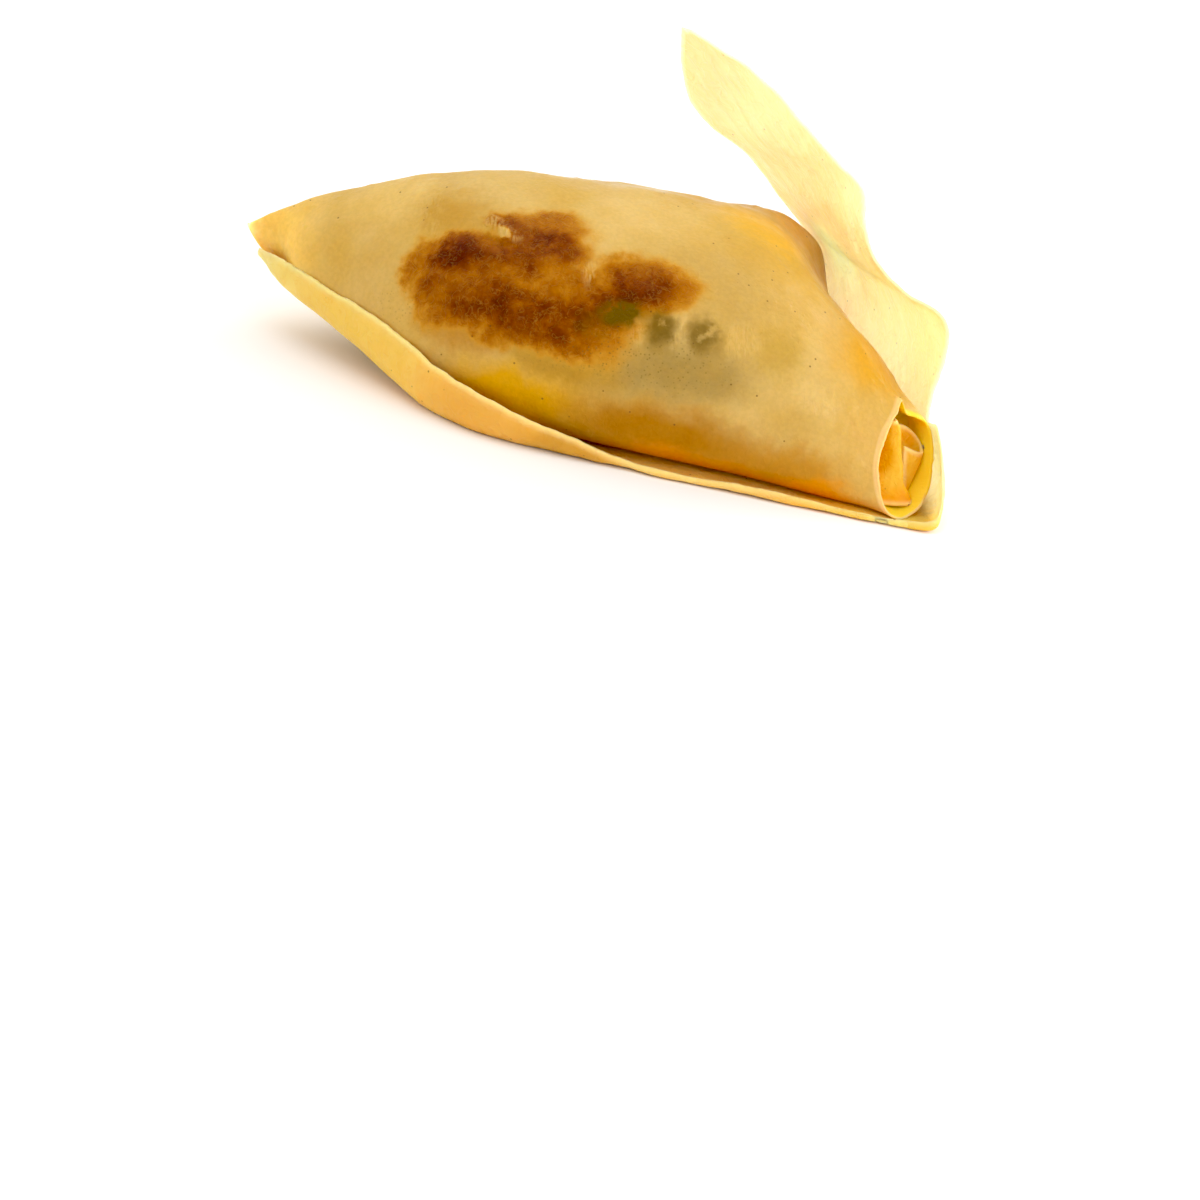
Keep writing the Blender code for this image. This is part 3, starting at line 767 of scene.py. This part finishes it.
def section(s, steps):
    # the cross-section at s from 0, the tip, to 1, the roll: an oval, front point first
    def read(key):
        return through(parcel[key], [s])[0]

    front, back = inMm(through(parcel["frontFold"], [s]))[0], inMm(through(parcel["backSeam"], [s]))[0]
    tall = parcelSize[2] / 100.0
    ridge, keel = read("ridge"), parcel["keel"]
    frontLevel, backLevel, topLevel, underLevel = [
        read(key) * tall for key in ("frontLevel", "backLevel", "topLevel", "underLevel")
    ]
    quarters = [
        (0, frontLevel, ridge, topLevel, read("topFront")),
        (1, backLevel, ridge, topLevel, read("topBack")),
        (1, backLevel, ridge + keel, underLevel, read("underBack")),
        (0, frontLevel, ridge - keel, underLevel, read("underFront")),
    ]
    angle = np.linspace(0.0, np.pi / 2, steps + 1)
    inwards, heights = [], []
    for index, (edge, edgeLevel, middle, middleLevel, fullness) in enumerate(quarters):
        power = 2.0 / fullness
        inward = middle + (edge - middle) * np.cos(angle) ** power
        height = edgeLevel + (middleLevel - edgeLevel) * np.sin(angle) ** power
        way = -1 if index % 2 else 1
        inwards.append(inward[::way][:-1])
        heights.append(height[::way][:-1])
    inwards, heights = np.concatenate(inwards), np.concatenate(heights)
    plan = front + inwards[:, None] * (back - front)
    plan[:, 1] += read("leanBack") * (heights - topLevel / 2.0)
    plan[:, 0] += parcel["tipSlant"] * smooth(parcel["tipEnds"], 0.0, s) * (topLevel - heights)
    slant = parcel["rollSlant"] * smooth(parcel["rollStarts"], 1.0, s)
    plan[:, 0] -= slant * np.maximum(heights - frontLevel, 0.0)
    return np.column_stack([plan, heights])


def evenRing(ring, count):
    # the same closed ring with its points evenly spaced
    closed = np.vstack([ring, ring[:1]])
    run = np.concatenate([[0.0], np.cumsum(np.linalg.norm(np.diff(closed, axis=0), axis=1))])
    at = np.linspace(0.0, run[-1], count, endpoint=False)
    return np.column_stack([np.interp(at, run, closed[:, axis]) for axis in range(3)])


def rollFrame():
    # the open roll's front point and its own axes: across, up, and level into the parcel
    front, top, back, under = section(1.0, 4)[::4]
    across = unit(back - front)
    return front, across, unit(top - under), unit(np.cross([0.0, 0.0, 1.0], across))


def inRoll(points):
    # places given across, inwards and up from the roll's front point
    front, across, up, inwards = rollFrame()
    points = np.asarray(points, float)
    return front + points[..., :1] * across + points[..., 1:2] * inwards + points[..., 2:] * up


def closedThrough(knots, count):
    # a smooth closed curve through the knots, starting at the first
    looped = np.vstack([knots[-1:], knots, knots[:2]])
    turn = (1.0 + len(knots) * np.linspace(0.0, 1.0, 600, endpoint=False)) / (len(looped) - 1)
    return evenRing(through(looped, turn), count)


def parcelRings(along, count):
    grid = np.array([evenRing(section(s, parcel["quarterSteps"]), count) for s in along])
    # the last stretch turns into the roll's own lip
    lip = closedThrough(inRoll(parcel["lip"]), count)
    grid = grid + smooth(parcel["rollStarts"], 1.0, along)[:, None, None] * (lip - grid[-1])
    # even out the creases where the quarters of each section meet
    for _ in range(3):
        grid[1:-1] = grid[1:-1] * 0.5 + (np.roll(grid, 1, axis=1) + np.roll(grid, -1, axis=1))[1:-1] * 0.25
    return grid


def foldLift(points, folds):
    # a ridge or groove along each fold's line, fading at its ends
    lift = np.zeros(points.shape[:-1])
    for start, end, height, width in folds:
        start, way = np.array(start, float), np.array(end, float) - np.array(start, float)
        t = np.clip((points - start) @ way / (way @ way), 0.0, 1.0)
        away = np.linalg.norm(points - start - t[..., None] * way, axis=-1)
        lift += height * np.exp(-((away / width) ** 2)) * np.sin(np.pi * np.clip(t, 0.02, 0.98)) ** 0.6
    return lift


def puckerLift(grid):
    # stretch wrinkles beside the filling
    puckers = np.zeros(grid.shape[:2])
    for middle, half, strength in parcelPastry["puckers"]:
        away = np.linalg.norm((grid - np.array(middle)) / (np.array(half) * 1.3), axis=-1)
        puckers += strength * smooth(1.4, 0.3, away)
    return np.clip(puckers, 0, 1) * waves(grid, parcel["puckerWaves"])


def raiseBlisters(lift, grid):
    # small fried domes at random points of the grid
    rng = np.random.default_rng(parcel["blisterSeed"])
    margin = 8
    for _ in range(parcel["blisters"]):
        row, column = rng.integers(margin, len(grid) - 6), rng.integers(0, grid.shape[1])
        radius, height = rng.uniform(*parcel["blisterRadius"]), rng.uniform(*parcel["blisterHeight"])
        near = slice(max(row - margin, 0), row + margin + 1)
        away = np.linalg.norm(grid[near] - grid[row, column], axis=-1)
        lift[near] += height * np.exp(-((away / radius) ** 2) * 1.6)


def parcelLift(grid, along):
    # how far the skin stands out from its smooth shape; calmer at the tip and the roll
    calm = (smooth(0.0, 0.10, along) * smooth(1.0, 0.93, along))[:, None]
    lift = waves(grid, parcel["waves"]) * (0.3 + 0.7 * calm) + foldLift(grid, parcel["folds"])
    lift += waves(grid, parcel["fineWaves"])
    middle, radius, height = parcel["earLump"]
    lift += height * np.exp(-((np.linalg.norm(grid - np.array(middle), axis=-1) / radius) ** 2))
    lift += puckerLift(grid)
    raiseBlisters(lift, grid)
    return lift * smooth(*parcel["flatBelow"], grid[..., 2])


def buildParcel():
    count = parcel["around"]
    along = np.linspace(0.0, 1.0, parcel["rings"]) ** parcel["crowding"]
    grid = parcelRings(along, count)
    normals = sheetNormals(grid, closed=True)
    outside = grid - grid.mean(axis=1, keepdims=True)
    normals *= np.where((normals * outside).sum(axis=2).mean() < 0, -1.0, 1.0)
    grid = grid + normals * parcelLift(grid, along)[..., None]
    grid[..., 2] = np.maximum(grid[..., 2], parcel["lowest"])

    # the pastry's end round the open roll: ragged, rounded, then down the inside of the roll
    front, across, _, inwards = rollFrame()
    rim = grid[-1] + inwards * waves(grid[-1], parcel["torn"])[:, None]
    middle = rim.mean(axis=0)
    inner = rim + unit(middle - rim) * parcel["skin"]
    tip = grid[0].mean(axis=0)
    rings = [tip + (grid[0] - tip) * share - np.array([out, 0.0, 0.0]) for share, out in parcel["tipRound"]]
    rings += [*grid[:-1], rim]
    rings += [rim * (1.0 - share) + inner * share - inwards * out for share, out in parcel["lipRound"]]
    firstInside = len(rings)
    rings.append(inner)
    for share in np.linspace(0.08, 1.0, parcel["liningRings"]):
        narrower = 1.0 - parcel["liningTaper"] * share
        rings.append(middle + (inner - middle) * narrower + inwards * parcel["rollDepth"] * share)

    # the far side of the roll has no pale edge, no painted highlight: its golden inside, a painted glow of
    # light through the lining, starts at the rim
    away = np.array([np.linalg.norm(ring - rim, axis=1).mean() for ring in rings])[:, None]
    farSide = smooth(5.5, 7.5, (rim - front) @ across)
    within = (np.arange(len(rings)) >= firstInside)[:, None]
    shares = {
        "edge": smooth(0.9, 0.4, away) * (1.0 - farSide),
        "inside": np.maximum(within, smooth(0.9, 0.3, away) * farSide),
    }
    return loftPiece("parcel_skin", rings, shares, parcelMaterial)


parcelPiece = buildParcel()
print("parcel built:", len(parcelPiece.data.polygons), "faces")


skirt = {
    "steps": 600, "rows": 26, "thickness": 0.5, "rimWidth": 0.9, "lowest": 0.32,
    "taper": 0.08, "thinnest": 0.3,  # each end thins out over this much of its length
    "thinsFrom": 0.66, "thinsTo": 0.74, "thinsBy": 0.6,  # along the turn, where the collar starts
    "collarFrom": 95.5, "collarSlant": 0.35,  # its looks start where x + slant * y passes this, in percent
    "waves": [(0.28, 5.5, 10), (0.1, 1.8, 11)],
    "torn": [(0.28, 3.2, 8), (0.12, 1, 9)],
    # three lines along the loose turn, in percent: tucked in under the parcel, fold, free rim
    "inner": [
        (5.8, 50.5, 30), (9.7, 42.7, 24.5), (15, 35.5, 18.1), (20.8, 30, 11),
        (26.5, 25.2, 4.8), (32.3, 19.4, 1.6), (38.1, 15.2, 1), (44.2, 13.5, 1),
        (56.5, 12.9, 1), (65, 13, 1), (74, 13.2, 1), (87.1, 13.9, 1),
        (92.3, 12.9, 1.3), (94.4, 13.9, 2.4), (95, 17.1, 3.6), (94.2, 22.3, 5),
        (92.6, 29, 6.5), (89.6, 36.8, 7), (86, 49.7, 9), (82.5, 59.4, 12),
    ],
    "fold": [
        (3, 47.4, 29), (6.7, 40, 23.9), (12.3, 32.9, 19.4), (18.4, 24.8, 14.8),
        (24.1, 17.7, 8.4), (29.9, 10.3, 2.9), (36.2, 4.8, 1.3), (42.9, 2.7, 1),
        (56.5, 2.4, 1), (65, 2.4, 1), (74, 2.2, 1), (88.1, 2.3, 1),
        (94.4, 2.6, 1), (98.1, 4.2, 1.3), (99, 10.4, 3.9), (98.7, 19.4, 7.7),
        (96.4, 29.7, 12.9), (91.9, 36.8, 10.5), (87.7, 49.7, 13), (84.6, 59.4, 16.3),
    ],
    "rim": [
        (2.6, 45.6, 34.4), (7.1, 38.4, 35), (12.7, 30, 33.6), (19, 21.9, 32),
        (25.4, 13.9, 27.4), (31.3, 6.8, 21.8), (37.1, 1.9, 18.6), (43.3, 0.2, 13.8),
        (56.5, 0.3, 4.8), (65, 0.4, 2.9), (74, 0.5, 4.3), (88.1, 1, 2.6),
        (94.8, 1.6, 3), (98.9, 3.5, 6.2), (98.3, 11.9, 23.8), (96.8, 19.7, 35.4),
        (95.4, 29.6, 30.5), (92.9, 37.2, 24), (89.5, 49.7, 21), (85.9, 59.4, 19.5),
    ],
}


def buildSkirt():
    along = np.linspace(0.0, 1.0, skirt["steps"])
    inner, fold, rim = [through(inMm(skirt[key]), along) for key in ("inner", "fold", "rim")]
    rim = rim + unit(rim - fold) * waves(rim, skirt["torn"])[:, None]
    outwards = np.linspace(0.0, 1.0, skirt["rows"])
    rows = [inner * (1 - t) * (1 - 2 * t) + fold * 4 * t * (1 - t) + rim * t * (2 * t - 1) for t in outwards]
    free = smooth(0.25, 0.7, outwards)[:, None]
    thin = np.clip(np.minimum(along, 1.0 - along) / skirt["taper"], skirt["thinnest"], 1.0)
    thin *= 1.0 - skirt["thinsBy"] * smooth(skirt["thinsFrom"], skirt["thinsTo"], along)
    piece = sheetPiece("skirt_collar", np.array(rows), skirt, looseMaterial, free, thin)
    piece.data.materials.append(collarMaterial)
    # the collar and its tail behind the roll are the thinner pastry
    for face in piece.data.polygons:
        x, y = [face.center[k] / mm / parcelSize[k] * 100.0 + originPercent[k] for k in (0, 1)]
        face.material_index = int(x + skirt["collarSlant"] * y > skirt["collarFrom"])


buildSkirt()
print("skirt and collar built")


flap = {
    "rows": 220, "columns": 90, "thickness": 0.4, "rimWidth": 1.0, "lowest": 0.0, "camber": 0.8,
    "root": (0.667, 0.975),  # the stretch of the back seam that it grows out of
    "rootInset": 2.0,
    "outwards": (0.75, 0.62, 0.2),  # the way its camber bulges
    "waves": [(0.55, (7, 12, 14), 16), (0.14, 3, 17)],
    "tornLeft": [(0.25, 3, 12), (0.12, 0.9, 13)],
    "tornRight": [(0.4, 3.4, 14), (0.18, 0.9, 15)],
    # its two long edges, in percent, from the parcel up to the tip
    "left": [
        (75.9, 100.7, 47.9), (75.6, 99.8, 54.5), (74.9, 97.6, 60.8), (73.6, 97.1, 66.2),
        (71.6, 94.6, 74.4), (68.1, 91, 87.7), (63.6, 88.8, 100.2), (58.7, 90, 107.8),
        (55.2, 89.6, 119), (53.1, 86.2, 137.8), (52.3, 81.5, 156.3),
    ],
    "right": [
        (95.3, 29.8, 39.4), (95.8, 29.8, 58.3), (94.7, 28.2, 79.5), (89.2, 32, 86.2),
        (84.4, 43, 91), (81.8, 49.5, 101.1), (80.4, 52.6, 116.4), (77, 58, 123.4),
        (71.6, 64.4, 133.1), (65.6, 69.6, 144.8), (53.6, 79.7, 156.9),
    ],
}


def buildFlap():
    across = np.linspace(0.0, 1.0, flap["columns"])
    stretch = flap["root"][0] + (flap["root"][1] - flap["root"][0]) * across
    seam = inMm(through(parcel["backSeam"], stretch))
    inside = inMm(through(parcel["frontFold"], stretch)) - seam
    seam = seam + unit(inside) * flap["rootInset"]
    root = np.column_stack([seam, through(parcel["backLevel"], stretch) * parcelSize[2] / 100.0])
    rootBow = root - (root[0] + (root[-1] - root[0]) * across[:, None])
    rise = np.linspace(0.0, 1.0, flap["rows"])
    left = through(np.vstack([root[:1], inMm(flap["left"])]), rise)
    right = through(np.vstack([root[-1:], inMm(flap["right"])]), rise)
    wide = unit(right - left)
    left = left + wide * waves(left, flap["tornLeft"])[:, None]
    right = right + wide * waves(right, flap["tornRight"])[:, None]
    outwards = unit(np.array(flap["outwards"]))
    rows = []
    for k, height in enumerate(rise):
        row = left[k] + (right[k] - left[k]) * across[:, None] + rootBow * (1.0 - height) ** 3
        camber = flap["camber"] * np.sin(np.pi * height) * np.sin(np.pi * across)
        rows.append(row + outwards * camber[:, None])
    sheetPiece("flap", np.array(rows), flap, flapMaterial, smooth(0.04, 0.25, rise)[:, None])


buildFlap()
print("flap built")


# places in the roll are across, inwards and up from its front point
rollLeaf = {
    "rows": 70, "columns": 60, "thickness": 0.5, "rimWidth": 0.7, "lowest": 0.0,
    "up": [-7, -5.6, -4.2, -2, 0, 2.2, 4, 5.1],
    "edge": [6.8, 6, 5.2, 4.7, 4.3, 4, 3.7, 3],  # how far across its rolled edge is, going up
    "outline": [  # share of that, and inwards
        (0.00, 4.6), (0.22, 2.9), (0.5, 1.7), (0.8, 0.9), (0.97, 0.9), (1.04, 1.7), (1, 3.4), (0.95, 5.4),
    ],
    "waves": [(0.16, 2.2, 18)],
}


def buildLeaf():
    outline = through(rollLeaf["outline"], np.linspace(0.0, 1.0, rollLeaf["columns"]))
    rows = []
    for t in np.linspace(0.0, 1.0, rollLeaf["rows"]):
        reach, height = [through(rollLeaf[key], [t])[0] for key in ("edge", "up")]
        rows.append(np.column_stack([outline[:, 0] * reach, outline[:, 1], np.full(len(outline), height)]))
    sheetPiece("roll_leaf", inRoll(np.array(rows)), rollLeaf, innerMaterial)


rollPocket = {
    "rows": 60, "columns": 90, "thickness": 0.5, "rimWidth": 0.7, "lowest": 0.0,
    "rim": [
        (5.2, 1.3, 1), (6.4, 1.2, 0.4), (7.7, 1.3, -0.1), (8.7, 1.7, -0.1), (9, 2.4, 0.5),
        (8.4, 2.8, 1.5), (7.2, 3, 2.6), (6, 3, 3.3), (4.9, 2.9, 3.5), (4.3, 2.3, 2.6), (4.5, 1.7, 1.5),
    ],
    "foot": (7, 3.2, -6.9), "footSize": 0.24,
    "bulge": 0.14, "bulgeEnds": 0.625,  # how far down it bulges, from 0 at the rim to 1 at the foot
    "waves": [(0.12, 2.4, 19)],
}


def buildPocket():
    # a little cone of pastry, open at the top
    rim = through(rollPocket["rim"], np.linspace(0.0, 1.0, rollPocket["columns"]))
    middle, foot = rim.mean(axis=0), np.array(rollPocket["foot"])
    rows = []
    for t in np.linspace(0.0, 1.0, rollPocket["rows"]):
        size = 1.0 + (rollPocket["footSize"] - 1.0) * t ** 0.8
        size += rollPocket["bulge"] * math.sin(math.pi * min(t / rollPocket["bulgeEnds"], 1.0))
        level = (rim - middle) * np.array([1.0, 1.0, 1.0 - t])
        rows.append(middle + (foot - middle) * t + level * size)
    sheetPiece("roll_pocket", inRoll(np.array(rows)), rollPocket, innerMaterial)


buildLeaf()
buildPocket()
print("roll built")


studio = {
    "floorSize": 12.0, "floorColour": (0.93, 0.93, 0.925), "floorRoughness": 0.7, "floorShine": 0.2,
    "world": (1, 0.995, 0.985), "worldStrength": 0.92,
    "blackLevel": 0.014,
    # name: place in metres, size, watts
    "lights": {
        "softboxOver": ((-0.6, 0.1, 1.5), 1.3, 5),
        "softboxBehind": ((1.45, 1.55, 0.75), 1.2, 30),
        "softboxRight": ((1.35, -0.45, 0.6), 1, 9),
        "fillFront": ((-1.1, -1.4, 0.9), 1.2, 2),
    },
}
camera = {
    "lens": 200.0, "sensor": 36.0, "clip": (0.01, 50.0),
    "frameWidth": 168.0, "aim": (-0.5, -15.5, -23.2),  # millimetres
    "elevation": 22.0, "roll": 12.0,  # degrees
}


def buildFloor():
    half = studio["floorSize"] / 2.0
    mesh = bpy.data.meshes.new("floor")
    corners = [(-half, -half, 0), (half, -half, 0), (half, half, 0), (-half, half, 0)]
    mesh.from_pydata(corners, [], [(0, 1, 2, 3)])
    material = bpy.data.materials.new("paleFloor")
    material.use_nodes = True
    shader = material.node_tree.nodes["Principled BSDF"]
    shader.inputs["Base Color"].default_value = (*studio["floorColour"], 1.0)
    shader.inputs["Roughness"].default_value = studio["floorRoughness"]
    shader.inputs["Specular IOR Level"].default_value = studio["floorShine"]
    mesh.materials.append(material)
    floor = bpy.data.objects.new("floor", mesh)
    bpy.context.scene.collection.objects.link(floor)


def buildLight():
    world = bpy.data.worlds.new("paleStudio")
    world.use_nodes = True
    background = world.node_tree.nodes["Background"]
    background.inputs["Color"].default_value = (*studio["world"], 1.0)
    background.inputs["Strength"].default_value = studio["worldStrength"]
    bpy.context.scene.world = world
    for name, (place, size, watts) in studio["lights"].items():
        light = bpy.data.lights.new(name, "AREA")
        light.shape = "DISK"
        light.size = size
        light.energy = watts
        made = bpy.data.objects.new(name, light)
        made.location = place
        made.rotation_euler = (-Vector(place)).to_track_quat("-Z", "Y").to_euler()
        bpy.context.scene.collection.objects.link(made)


def buildCamera():
    e, r = math.radians(camera["elevation"]), math.radians(camera["roll"])
    forward = Vector((0.0, math.cos(e), -math.sin(e)))
    level, steep = Vector((1.0, 0.0, 0.0)), Vector((0.0, math.sin(e), math.cos(e)))
    right = level * math.cos(r) + steep * math.sin(r)
    up = steep * math.cos(r) - level * math.sin(r)
    data = bpy.data.cameras.new("camera")
    data.lens = camera["lens"]
    data.sensor_width = camera["sensor"]
    data.clip_start, data.clip_end = camera["clip"]
    distance = camera["frameWidth"] * mm * data.lens / data.sensor_width
    made = bpy.data.objects.new("camera", data)
    turn = Matrix((right, up, -forward)).transposed().to_4x4()
    made.matrix_world = Matrix.Translation(Vector(camera["aim"]) * mm - forward * distance) @ turn
    bpy.context.scene.collection.objects.link(made)
    bpy.context.scene.camera = made


buildFloor()
buildLight()
buildCamera()
viewSettings = bpy.context.scene.view_settings
viewSettings.view_transform = "Standard"
viewSettings.use_curve_mapping = True
viewSettings.curve_mapping.black_level = (studio["blackLevel"],) * 3
print("studio ready")
